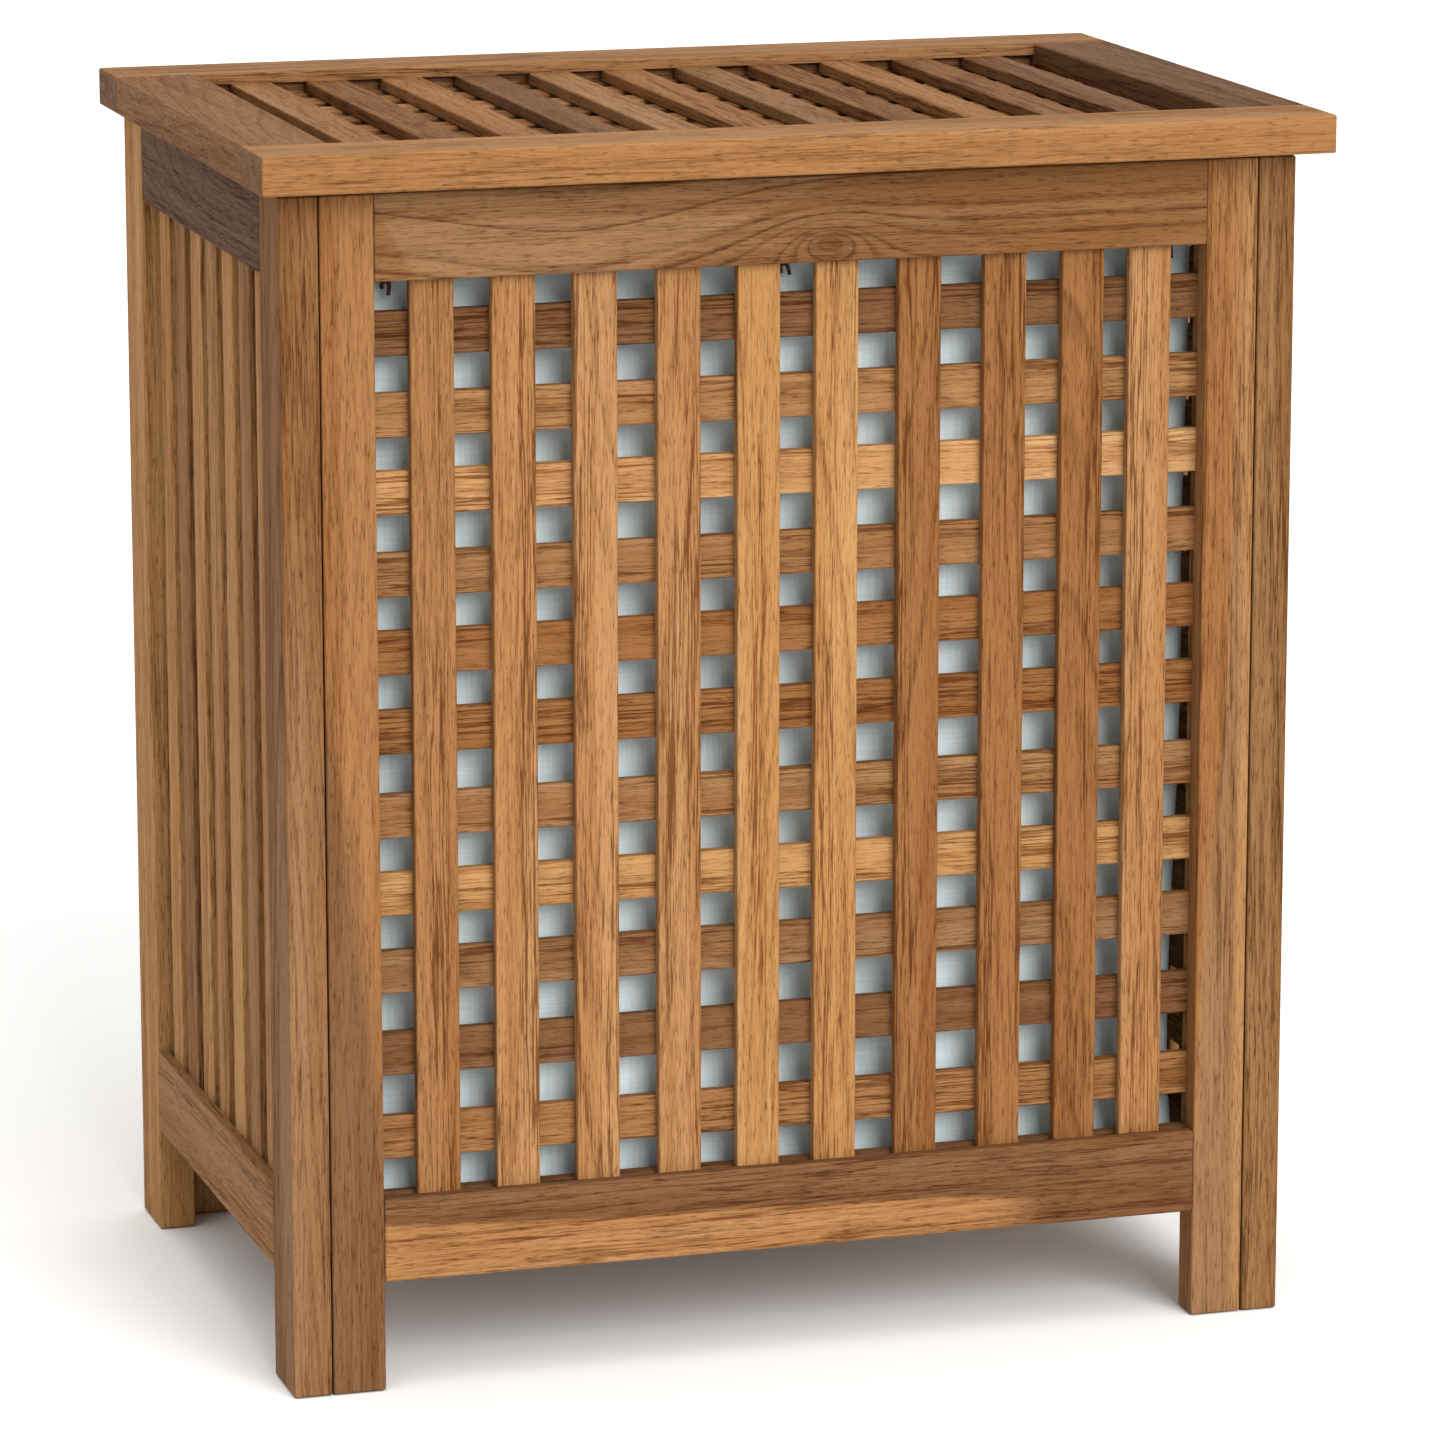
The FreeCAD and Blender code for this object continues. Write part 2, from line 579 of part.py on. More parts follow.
def make_base():
    """Two cleats inside the bottom rails, and the boards that lie across them."""
    for face, frame in (("front", FRONT), ("rear", REAR)):
        name = f"{face}_base_cleat"
        cleat = frame.block(
            f"{name}_blank", ("-Sizes.cleat_length / 2", "Sizes.cleat_length"),
            ("Sizes.base_height", "Sizes.cleat"), ("Sizes.board", "Sizes.cleat"),
        )
        keep(name, cleat)

    body = doc.addObject("PartDesign::Body", "BaseBoardBody")
    body.AllowCompound = True
    sketch = rectangle_sketch(body, "BoardOutline", "Sizes.base_board_width", "Sizes.base_board_length")
    board = body.newObject("PartDesign::Pad", "Board")
    board.Profile = sketch
    board.setExpression("Length", "Sizes.base_board_thickness")
    doc.recompute()
    row = body.newObject("PartDesign::LinearPattern", "BoardRow")
    row.Originals = [board]
    row.Direction = (sketch, ["H_Axis"])
    row.Occurrences = BASE_BOARDS
    row.setExpression("Length", f"{BASE_BOARDS - 1} * Sizes.base_board_pitch")
    body.Tip = row
    body.setExpression("Placement.Base.x", f"-{(BASE_BOARDS - 1) / 2} * Sizes.base_board_pitch")
    body.setExpression("Placement.Base.y", MIDDLE_Y)
    body.setExpression("Placement.Base.z", "Sizes.base_height + Sizes.cleat")
    keep("base_boards", body)


def make_bumpers():
    """A rubber bumper on top of each front leg."""
    bumpers = [
        turned(
            "Cylinder", f"bumper_{side}",
            (f"{sign} * ({BODY_HALF} - Sizes.board / 2)", f"{BODY_FRONT} + Sizes.side_stile / 2", BODY_TOP),
            (0, 0, 1), Radius="Sizes.bumper_radius", Height="Sizes.bumper_height",
        )
        for side, sign in (("left", -1), ("right", 1))
    ]
    keep("lid_bumpers", group("lid_bumpers", bumpers))


def edges_along_z(shape):
    """The names of a shape's upright edges."""
    return [
        f"Edge{number}"
        for number, edge in enumerate(shape.Edges, start=1)
        if abs(edge.tangentAt(edge.FirstParameter).z) > 0.99
    ]


def highest_face(shape):
    """The name of a shape's top face."""
    heights = [face.CenterOfMass.z for face in shape.Faces]
    return f"Face{heights.index(max(heights)) + 1}"


def make_bag():
    """The cloth bag: a box with rounded upright corners, open at the top."""
    body = doc.addObject("PartDesign::Body", "BagBody")
    sketch = rectangle_sketch(body, "BagOutline", "Sizes.bag_width", "Sizes.bag_depth")
    block = body.newObject("PartDesign::Pad", "BagBlock")
    block.Profile = sketch
    block.setExpression("Length", "Sizes.bag_height")
    doc.recompute()
    corners = body.newObject("PartDesign::Fillet", "BagCorners")
    corners.Base = (block, edges_along_z(block.Shape))
    corners.setExpression("Radius", "Sizes.bag_corner")
    doc.recompute()
    hollow = body.newObject("PartDesign::Thickness", "BagHollow")
    hollow.Base = (corners, [highest_face(corners.Shape)])
    hollow.Reversed = True
    hollow.setExpression("Value", "Sizes.bag_wall")
    body.Tip = hollow
    body.setExpression("Placement.Base.y", MIDDLE_Y)
    body.setExpression("Placement.Base.z", BASE_TOP)
    keep("liner_bag", body)


# ---------------------------------------------------------------- the whole hamper
make_dowels()
make_bag_eyes()
make_hinge_screws()
make_base_screws()

wall(
    "front", FRONT, f"(-{FRAME_HALF})", FRAME_HALF, "Sizes.front_stile", ("left", "right"),
    FRONT_UPRIGHTS, FRONT_UPRIGHT_DRIFT, FRONT_CROSS_DRIFT,
)
wall("rear", REAR, f"(-{FRAME_HALF})", FRAME_HALF, "Sizes.front_stile", ("left", "right"), FRONT_UPRIGHTS)
for side_name, side_frame in (("left", LEFT), ("right", RIGHT)):
    wall(side_name, side_frame, BODY_FRONT, BODY_BACK, "Sizes.side_stile", ("front", "rear"), SIDE_UPRIGHTS)

make_lid()
make_hinge("left", -1)
make_hinge("right", 1)
make_base()
make_bumpers()
make_bag()
doc.recompute()

# ---------------------------------------------------------------- check and export
for obj in doc.Objects:
    if "Invalid" in obj.State or "Error" in obj.State:
        raise RuntimeError(f"{obj.Label} failed: {obj.State}")
for part in parts:
    if part.Shape.isNull() or not part.Shape.isValid():
        raise RuntimeError(f"{part.Label} has no valid shape")

os.makedirs("parts", exist_ok=True)
for part in parts:
    part.Shape.exportStep(os.path.join("parts", f"{part.Label}.step"))
    print(f"{part.Label}: {len(part.Shape.Solids)} solids, {part.Shape.Volume / 1000:.1f} cm3")
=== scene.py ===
"""Looks for the teak laundry hamper: wood for every board, a hung cotton bag, its ties, and the studio."""
import bmesh
import bpy
import json
import math
import random
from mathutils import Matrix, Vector, noise


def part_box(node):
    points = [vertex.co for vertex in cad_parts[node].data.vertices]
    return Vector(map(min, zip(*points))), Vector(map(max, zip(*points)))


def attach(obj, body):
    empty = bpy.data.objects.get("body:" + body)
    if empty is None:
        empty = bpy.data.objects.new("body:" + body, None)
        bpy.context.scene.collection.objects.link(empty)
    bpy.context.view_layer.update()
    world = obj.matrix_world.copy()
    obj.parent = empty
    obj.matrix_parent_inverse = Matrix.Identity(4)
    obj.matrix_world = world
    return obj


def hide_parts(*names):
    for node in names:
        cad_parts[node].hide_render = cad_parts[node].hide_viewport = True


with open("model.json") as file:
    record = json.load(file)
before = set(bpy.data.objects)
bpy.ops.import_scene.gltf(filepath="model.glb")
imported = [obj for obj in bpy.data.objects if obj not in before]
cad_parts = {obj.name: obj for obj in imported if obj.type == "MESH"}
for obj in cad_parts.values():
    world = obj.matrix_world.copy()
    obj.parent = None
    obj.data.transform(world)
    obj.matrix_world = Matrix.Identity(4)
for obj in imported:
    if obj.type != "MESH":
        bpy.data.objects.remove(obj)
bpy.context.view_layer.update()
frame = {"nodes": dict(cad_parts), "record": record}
NODES = frame["nodes"]
MM = 0.001


# ---------------------------------------------------------------- colours
def linear(red, green, blue):
    """A colour for a shader, from its everyday 0 to 255 values."""
    def one(value):
        share = value / 255
        return share / 12.92 if share <= 0.04045 else ((share + 0.055) / 1.055) ** 2.4
    return (one(red), one(green), one(blue), 1.0)


def times(colour, factors):
    """A colour with its red, green and blue each multiplied."""
    return tuple(part * factor for part, factor in zip(colour, factors)) + (1.0,)


# Teak as it looks under the studio's light, and what its own colour is beside that.
LIT_TO_OWN = (0.68, 0.70, 0.72)
TEAK = {
    name: times(linear(*seen), LIT_TO_OWN)
    for name, seen in {
        "cream": (212, 162, 110),
        "straw": (196, 146, 92),
        "honey": (186, 136, 88),
        "gold": (175, 127, 81),
        "tan": (168, 122, 80),
        "amber": (166, 116, 71),
        "russet": (156, 105, 61),
        "fawn": (156, 114, 77),
        "olive": (150, 108, 68),
        "brown": (146, 101, 62),
        "umber": (132, 92, 60),
        "walnut": (116, 78, 50),
        "ash": (147, 104, 67),
        "grey": (124, 88, 60),
        "slate": (112, 82, 62),
    }.items()
}


# ---------------------------------------------------------------- shader building blocks
class Shader:
    """Adds nodes to one material's tree. An input is a value or another node's output."""

    def __init__(self, name):
        self.material = bpy.data.materials.new(name)
        self.material.use_nodes = True
        self.tree = self.material.node_tree
        self.surface = self.tree.nodes["Principled BSDF"]

    def set(self, node, key, value):
        """Gives a node's input a value, or joins another node's output to it."""
        if isinstance(value, bpy.types.NodeSocket):
            self.tree.links.new(value, node.inputs[key])
        else:
            node.inputs[key].default_value = value

    def node(self, kind, inputs, **settings):
        """A new node of a kind, with its settings made before its inputs."""
        made = self.tree.nodes.new(f"ShaderNode{kind}")
        for key, value in settings.items():
            setattr(made, key, value)
        for key, value in inputs.items():
            self.set(made, key, value)
        return made

    def maths(self, operation, first, second=0.0, third=0.0):
        made = self.node("Math", {0: first, 1: second, 2: third}, operation=operation)
        return made.outputs[0]

    def clamp(self, value):
        return self.node("Clamp", {0: value}).outputs[0]

    def vector(self, operation, first, second=(0, 0, 0)):
        made = self.node("VectorMath", {0: first, 1: second}, operation=operation)
        return made.outputs["Value" if operation in ("LENGTH", "DOT_PRODUCT") else "Vector"]

    def split(self, vector):
        return self.node("SeparateXYZ", {0: vector}).outputs

    def combine(self, x, y, z):
        return self.node("CombineXYZ", {0: x, 1: y, 2: z}).outputs[0]

    def noise(self, vector, waves, detail=2.0, roughness=0.5):
        """Noise of so many waves to the metre along each axis: (its value, its colour)."""
        scaled = self.vector("MULTIPLY", vector, waves)
        inputs = {"Vector": scaled, "Scale": 1.0, "Detail": detail, "Roughness": roughness}
        made = self.node("TexNoise", inputs)
        return made.outputs[0], made.outputs[1]

    def chance(self, number):
        """A value and a colour drawn at random for each number."""
        made = self.node("TexWhiteNoise", {"W": number}, noise_dimensions="1D")
        return made.outputs["Value"], made.outputs["Color"]

    def ramp(self, factor, stops, interpolation="LINEAR"):
        """A colour ramp. Stops are (place, colour or grey)."""
        made = self.node("ValToRGB", {0: factor})
        made.color_ramp.interpolation = interpolation
        elements = made.color_ramp.elements
        while len(elements) < len(stops):
            elements.new(1.0)
        for element, (place, colour) in zip(elements, stops):
            element.position = place
            element.color = colour if hasattr(colour, "__len__") else (colour, colour, colour, 1.0)
        return made.outputs[0]

    def mix(self, factor, first, second, blend="MIX"):
        """The first colour where the factor is 0 and the second where it is 1."""
        made = self.node("MixRGB", {0: self.clamp(factor), 1: first, 2: second}, blend_type=blend)
        return made.outputs[0]

    def tint(self, colour, factors):
        """A colour with its red, green and blue each multiplied."""
        return self.mix(1.0, colour, (*factors, 1.0), "MULTIPLY")

    def bump(self, height, distance, strength=1.0):
        """Makes the surface look raised by a height of 0 to 1 times the distance."""
        inputs = {"Height": height, "Distance": distance, "Strength": strength}
        self.set(self.surface, "Normal", self.node("Bump", inputs).outputs[0])

    def give(self, colour, roughness, **fixed):
        """Sets the surface's colour, roughness and fixed values."""
        self.set(self.surface, "Base Color", colour)
        self.set(self.surface, "Roughness", roughness)
        for key, value in fixed.items():
            self.set(self.surface, key.replace("_", " "), value)
        return self.material


def paint(node, material):
    """Gives a CAD node or a new piece one material."""
    piece = NODES.get(node, node)
    piece.data.materials.clear()
    piece.data.materials.append(material)


def add_object(name, data):
    """Puts a new object into the scene, made of a mesh, a curve, a light or a camera."""
    made = bpy.data.objects.new(name, data)
    bpy.context.collection.objects.link(made)
    return made


def mesh_object(name, mesh):
    """A new object made of a finished bmesh."""
    data = bpy.data.meshes.new(name)
    mesh.to_mesh(data)
    mesh.free()
    return add_object(name, data)


def evaluated_mesh(piece):
    """The mesh that an object has once its modifiers, simulation or bevel are applied."""
    finished = piece.evaluated_get(bpy.context.evaluated_depsgraph_get())
    return bpy.data.meshes.new_from_object(finished)


# ---------------------------------------------------------------- teak
class Band:
    """A stretch of a board in another tone, with lengths in millimetres.

    It begins where along times the place along the board, plus across times the place across it, passes
    start. soft is how wide its edge is, and wander how far the edge strays from a straight line.
    """

    def __init__(self, tone, along=0.0, across=0.0, start=0.0, soft=1.5, wander=6.0):
        self.tone = TEAK[tone]
        self.slope = (along, across, 0.0)
        self.start = start * MM
        self.soft = soft * MM
        self.wander = wander * MM


class Look:
    """What one board shows. Lengths are in millimetres from the board's middle.

    tones has a tone for each slat of a row, from its low end, or the one tone of a board. lines is how
    strong the growth rings are and spacing how far apart. pith is where the tree's middle lies: across the
    board, behind it, and how fast it falls away along it. bow bends the rings into a bowl: where along the
    board it is lowest, and how sharply it rises. knot is where a knot lies, and its size. veins is how dark
    the fine streaks are. bands are stretches of other tones, each laid over the one before.
    """

    def __init__(
        self, *tones, lines=0.5, spacing=5.0, pith=None, bow=None, knot=None, veins=0.7, bands=()
    ):
        self.tones = tones
        self.lines = lines
        self.spacing = spacing * MM
        self.pith = pith
        self.bow = bow
        self.knot = knot
        self.veins = veins
        self.bands = bands


SLAT_WIDTH = 20.5 * MM
GRAIN_DEPTH = 0.22 * MM
WOOD_ROUGHNESS = 0.62
DARK_ROUGHNESS = 0.15

# Each board's figure is cut from its own place in the noise, up to so many metres away.
FAR_APART = (9.0, 9.0, 9.0)

# How far, in metres, the layers bend along, across and through a board.
RING_BEND = (0, 0.011, 0.011)
VEIN_BEND = (0, 0.004, 0.004)

# Growth rings: how far from a board its pith may lie and how steeply it may fall, how uneven the rings are,
# how far a knot pushes them out, and how far from the bowl's lowest place its sides level off.
PITH_RANGE = (0.08, 0.06, 0.16)
RING_UNEVENNESS = 2.4
KNOT_PUSH = 45 * MM
BOW_REACH = 90 * MM

# The layers of the figure, as waves to the metre along, across and through a board.
BEND_WAVES = (4.5, 15, 15)
PATCH_WAVES = (3.0, 26, 26)
ZONE_WAVES = (1.6, 78, 78)
VEIN_WAVES = (9, 400, 400)
VEINED_WAVES = (4, 90, 90)
FIBRE_WAVES = (55, 1100, 1100)
PORE_WAVES = (150, 1500, 1500)

# How much of each layer goes into the dark of the wood.
PATCH_DARK = 0.16
PORE_DARK = 0.50
FIBRE_DARK = 1.5
EYE_DARK = 0.7

# What is done to a board's tone, as factors for its red, green and blue.
LIGHTEST_WOOD = (1.12, 1.13, 1.14)
DARKEST_WOOD = (0.40, 0.30, 0.23)
WARM_ZONE = (0.84, 0.75, 0.64)
END_GRAIN = (0.62, 0.66, 0.78)


def slat_by_slat(shader, pitch, sideways, look):
    """For a row of slats: each one's number, its tone, and the place across it from its own middle."""
    count = len(look.tones)
    cell = shader.maths("FLOOR", shader.maths("ADD", shader.maths("DIVIDE", sideways, pitch), count / 2))
    stops = [(k / count, TEAK[name]) for k, name in enumerate(look.tones)]
    share = shader.maths("DIVIDE", shader.maths("ADD", cell, 0.5), count)
    tone = shader.ramp(share, stops, "CONSTANT")
    middle = shader.maths("MULTIPLY", shader.maths("ADD", cell, 0.5 - count / 2), pitch)
    return cell, tone, shader.maths("SUBTRACT", sideways, middle)


def teak(node, grain, through, look):
    """Teak for one board, or for a row of slats that each get a tone and a figure of their own.

    grain and through are the axes along the fibres and through the board's thickness.
    """
    low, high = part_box(node)
    across = next(axis for axis in "xyz" if axis not in grain + through)
    shader = Shader(f"teak_{node}")
    texture = shader.node("TexCoord", {}).outputs
    place = shader.split(shader.vector("SUBTRACT", texture["Object"], tuple((low + high) / 2)))
    along, sideways, deep = (place["xyz".index(axis)] for axis in (grain, across, through))

    tone = TEAK[look.tones[0]]
    number = random.Random(node).uniform(0, 40)
    if len(look.tones) > 1:
        spread = high["xyz".index(across)] - low["xyz".index(across)]
        pitch = (spread - SLAT_WIDTH) / (len(look.tones) - 1)
        cell, tone, sideways = slat_by_slat(shader, pitch, sideways, look)
        number = shader.maths("ADD", cell, number)
    luck = shader.chance(number)[1]
    board = shader.combine(along, sideways, deep)
    wood = shader.vector("ADD", board, shader.vector("MULTIPLY", luck, FAR_APART))
    bend = shader.vector("SUBTRACT", shader.noise(wood, BEND_WAVES, 1.5)[1], (0.5, 0.5, 0.5))

    growth, eye = growth_rings(shader, board, bend, luck, look)
    patch = shader.ramp(shader.noise(wood, PATCH_WAVES, 2)[0], [(0.36, 0.0), (0.68, 1.0)])
    zone = shader.ramp(shader.noise(wood, ZONE_WAVES, 1)[0], [(0.44, 0.0), (0.56, 1.0)])
    curly = shader.vector("ADD", wood, shader.vector("MULTIPLY", bend, VEIN_BEND))
    vein = shader.noise(curly, VEIN_WAVES, 3, 0.55)[0]
    vein = shader.ramp(vein, [(0.44, 0.0), (0.49, 1.0), (0.51, 1.0), (0.56, 0.0)])
    veined = shader.ramp(shader.noise(wood, VEINED_WAVES, 2)[0], [(0.42, 0.1), (0.60, 1.0)])
    fibre = shader.noise(wood, FIBRE_WAVES, 2, 0.65)[0]
    pore = shader.ramp(shader.noise(wood, PORE_WAVES, 1)[0], [(0.58, 0.0), (0.68, 1.0)])

    dark = shader.maths("MULTIPLY", growth, look.lines)
    dark = shader.maths("MULTIPLY_ADD", patch, PATCH_DARK, dark)
    dark = shader.maths("MULTIPLY_ADD", shader.maths("MULTIPLY", vein, veined), look.veins, dark)
    dark = shader.maths("MULTIPLY_ADD", pore, PORE_DARK, dark)
    dark = shader.maths("ADD", dark, shader.maths("MULTIPLY_ADD", fibre, FIBRE_DARK, -FIBRE_DARK / 2))
    if eye:
        dark = shader.maths("MULTIPLY_ADD", shader.maths("POWER", eye, 3.0), EYE_DARK, dark)
    end = shader.maths("ABSOLUTE", shader.split(texture["Normal"])["xyz".index(grain)])
    end = shader.ramp(end, [(0.6, 0.0), (0.95, 1.0)])

    for band in look.bands:
        far = shader.vector("ADD", board, shader.vector("MULTIPLY", bend, (0, band.wander * 2, 0)))
        past = shader.maths("SUBTRACT", shader.vector("DOT_PRODUCT", far, band.slope), band.start)
        tone = shader.mix(shader.maths("MULTIPLY_ADD", past, 0.5 / band.soft, 0.5), tone, band.tone)
    tone = shader.mix(end, tone, shader.tint(tone, END_GRAIN))
    warm = shader.mix(shader.maths("MULTIPLY", zone, 0.75), tone, shader.tint(tone, WARM_ZONE))
    colour = shader.mix(dark, shader.tint(warm, LIGHTEST_WOOD), shader.tint(warm, DARKEST_WOOD))
    rough = shader.maths("MULTIPLY_ADD", dark, DARK_ROUGHNESS, WOOD_ROUGHNESS)
    height = shader.maths("MULTIPLY_ADD", fibre, 0.5, shader.maths("MULTIPLY", pore, -0.5))
    shader.bump(shader.maths("MULTIPLY_ADD", growth, -0.3, height), GRAIN_DEPTH, 0.5)
    paint(node, shader.give(colour, rough, IOR=1.4, Specular_IOR_Level=0.05))


def growth_rings(shader, board, bend, luck, look):
    """The dark late wood of each ring round the pith, and the knot's own darkness if there is one."""
    bent = shader.vector("ADD", board, shader.vector("MULTIPLY", bend, RING_BEND))
    along, sideways, deep = shader.split(bent)
    if look.pith:
        pith_sideways, pith_deep, fall = look.pith[0] * MM, look.pith[1] * MM, look.pith[2]
    else:
        drawn = shader.vector("SUBTRACT", luck, (0.5, -0.3, 0.5))
        pith_sideways, pith_deep, fall = shader.split(shader.vector("MULTIPLY", drawn, PITH_RANGE))
    if look.bow:
        from_bow = shader.maths("SUBTRACT", along, look.bow[0] * MM)
        squared = shader.maths("POWER", from_bow, 2.0)
        flattened = shader.maths("MULTIPLY_ADD", squared, 1 / BOW_REACH ** 2, 1.0)
        rise = shader.maths("DIVIDE", shader.maths("MULTIPLY", squared, look.bow[1]), flattened)
        sideways = shader.maths("SUBTRACT", sideways, rise)
    beside = shader.maths("SUBTRACT", sideways, pith_sideways)
    fallen = shader.maths("MULTIPLY", along, fall)
    behind = shader.maths("ADD", fallen, shader.maths("ADD", deep, pith_deep))
    radius = shader.vector("LENGTH", shader.combine(beside, behind, 0.0))
    eye = None
    if look.knot:
        from_knot = shader.vector("SUBTRACT", board, (look.knot[0] * MM, look.knot[1] * MM, 0.0))
        reach = shader.vector("LENGTH", shader.vector("MULTIPLY", from_knot, (0.5, 1.0, 0.0)))
        eye = shader.maths("EXPONENT", shader.maths("DIVIDE", reach, -look.knot[2] * MM))
        radius = shader.maths("MULTIPLY_ADD", eye, KNOT_PUSH, radius)
    ring = shader.maths("DIVIDE", radius, look.spacing)
    inputs = {"W": ring, "Scale": 0.45, "Detail": 1.0}
    uneven = shader.node("TexNoise", inputs, noise_dimensions="1D").outputs[0]
    ring = shader.maths("MULTIPLY_ADD", uneven, RING_UNEVENNESS, ring)
    late = shader.ramp(
        shader.maths("FRACT", ring),
        [(0.0, 0.22), (0.12, 0.0), (0.6, 0.10), (0.91, 1.0), (0.97, 0.7), (1.0, 0.22)],
    )
    weight = shader.chance(shader.maths("FLOOR", ring))[0]
    return shader.maths("MULTIPLY", late, shader.maths("MULTIPLY_ADD", weight, 0.8, 0.15)), eye


def board_axes(node):
    """The grain's axis and the axis through the board, from a sub-part's name."""
    if node.startswith(("lid", "base", "front_base", "rear_base")):
        through = "z"
    elif node.startswith(("left", "right")):
        through = "x"
    else:
        through = "y"
    side = "y" if through == "x" else "x"
    if node in ("base_boards", "lid_left_stile", "lid_right_stile", "lid_upper_slats"):
        return "y", "z"
    if node == "corner_dowels":
        return "x", "y"
    return ("z" if node.endswith(("stile", "upright_slats")) else side), through


BOARDS = {
    "front_left_stile": Look(
        "amber", pith=(30, 60, 0.05), lines=0.25, veins=0.3,
        bands=[Band("umber", along=-0.14, across=-1.0, start=8, soft=5, wander=12)],
    ),
    "front_right_stile": Look(
        "fawn", pith=(-14, 40, 0.10), spacing=6, lines=0.3,
        bands=[
            Band("amber", along=0.05, across=-1.0, start=2, soft=2),
            Band("gold", across=1.0, start=7, wander=3),
        ],
    ),
    "front_top_rail": Look(
        "brown", pith=(16, 20, 0.0), spacing=8, lines=0.8, veins=0.3,
        bow=(-108, 3.4), knot=(15, -11, 10),
        bands=[
            Band("fawn", along=0.9, across=0.5, start=-172, soft=1.5, wander=9),
            Band("ash", along=0.5, across=-1.0, start=-10, soft=1.5, wander=10),
            Band("brown", along=1.0, across=1.4, start=66, soft=1.5, wander=10),
        ],
    ),
    "front_bottom_rail": Look(
        "honey", pith=(24, 30, 0.04), spacing=5, lines=0.4,
        bands=[
            Band("umber", along=0.05, across=1.0, start=-2, soft=1.2, wander=9),
            Band("umber", along=1.0, across=-0.6, start=120, soft=14, wander=14),
        ],
    ),
    "left_front_stile": Look(
        "fawn", pith=(-10, 34, 0.06), lines=0.5,
        bands=[Band("brown", along=0.10, across=0.3, start=4, soft=6, wander=14)],
    ),
    "right_front_stile": Look("olive", pith=(-10, 22, 0.05), spacing=6, lines=0.45),
    "left_top_rail": Look("slate", pith=(20, 22, 0.2), lines=0.5),
    "left_bottom_rail": Look("tan", lines=0.3),
    "left_rear_stile": Look("straw", lines=0.3),
    "lid_front_rail": Look("gold", pith=(40, 60, 0.03), spacing=3.4, lines=0.3, veins=0.6),
    "lid_rear_rail": Look("tan", pith=(15, 70, 0.03), spacing=3.2),
    "lid_left_stile": Look("ash", pith=(30, 24, 0.12), spacing=6, lines=0.35, veins=0.3),
    "lid_right_stile": Look("grey", pith=(-25, 24, 0.09), spacing=6, lines=0.45),
    "front_upright_slats": Look(
        "amber", "honey", "honey", "honey", "straw", "straw", "russet", "amber", "russet", "honey",
        lines=0.45, veins=0.9,
    ),
    "front_cross_slats": Look(
        "amber", "umber", "fawn", "straw", "tan", "russet", "russet", "tan", "cream", "gold", "umber",
        lines=0.4, veins=1.0,
    ),
    "lid_upper_slats": Look(
        "tan", "brown", "amber", "umber", "tan", "amber", "olive", "brown", "amber", "brown", "umber",
        lines=0.3,
    ),
    "lid_lower_slats": Look("amber", "honey", "brown", "amber", "brown", "honey", "amber"),
    "left_upright_slats": Look("honey", "tan", "straw", "honey", "straw", "tan", "straw", lines=0.3),
}
ROW_COUNTS = {"rear_upright_slats": 10, "upright_slats": 7, "cross_slats": 11, "base_boards": 8}
UNSEEN_TONES = ("honey", "amber", "russet", "brown", "tan", "olive", "straw")


def slot_of(node):
    """The record's material slot of a CAD node."""
    subparts = frame["record"]["subparts"]
    return next(part["material_slot"] for part in subparts if part["node"] == node)


def make_wood():
    """Teak on every wooden node. A board with no look of its own above draws its tones at random."""
    for node in NODES:
        if slot_of(node) != "teak":
            continue
        choices = random.Random(f"tone {node}")
        count = next((number for end, number in ROW_COUNTS.items() if node.endswith(end)), 1)
        drawn = Look(*(choices.choice(UNSEEN_TONES) for _ in range(count)))
        teak(node, *board_axes(node), BOARDS.get(node, drawn))


# ---------------------------------------------------------------- metal and rubber
def metal(name, colour, roughness):
    """A lightly scuffed metal."""
    shader = Shader(name)
    place = shader.node("TexCoord", {}).outputs["Object"]
    scuffs = shader.noise(place, (900, 260, 900), 3, 0.7)[0]
    tarnish = shader.noise(place, (90, 90, 90), 2)[0]
    tint = shader.mix(
        shader.ramp(tarnish, [(0.4, 0.0), (0.75, 0.7)]), colour, times(colour, (0.55, 0.55, 0.55))
    )
    shader.bump(scuffs, 0.05 * MM, 0.4)
    return shader.give(tint, shader.maths("MULTIPLY_ADD", scuffs, 0.3, roughness), Metallic=1.0)


def make_fittings():
    """Brass hinges and screw eyes, steel screws and rubber bumpers."""
    brass = metal("hinge_brass", linear(205, 172, 110), 0.2)
    steel = metal("screw_steel", linear(190, 188, 182), 0.22)
    for node in NODES:
        if slot_of(node) in ("hinge_brass", "eye_brass"):
            paint(node, brass)
        elif slot_of(node) == "screw_steel":
            paint(node, steel)
    shader = Shader("bumper_rubber")
    grit = shader.noise(shader.node("TexCoord", {}).outputs["Object"], (1600, 1600, 1600), 2)[0]
    shader.bump(grit, 0.08 * MM, 0.5)
    shade = shader.mix(grit, linear(38, 32, 28), linear(64, 56, 50))
    paint("lid_bumpers", shader.give(shade, 0.75))


# ---------------------------------------------------------------- the bag
# The bag's cotton is white: the cool cast of BAG_CLOTH is painted shade, and BAG_PAINTED_SHADOW (first
# named BAG_PAINTED_SHADOW) is the cloth's colour as it looks in shadow, painted into the cloth in patches.
BAG_CLOTH = linear(224, 237, 239)
BAG_PAINTED_SHADOW = linear(160, 177, 181)
STITCH_SHADE = linear(120, 126, 130)
THREAD = 0.62 * MM
STITCH = 3 * MM
CLOTH_THICKNESS = 0.5 * MM
HEM_THICKNESS = 1.3 * MM

# The cloth is made of squares, and the hem is so many rows of them.
BAG_CELL = 8 * MM
BAG_CORNER = 10 * MM
HEM_ROWS = 2

# How far the slack stands out in its wide and its narrow folds, in millimetres.
WIDE_FOLD = 6.0
NARROW_FOLD = 2.6

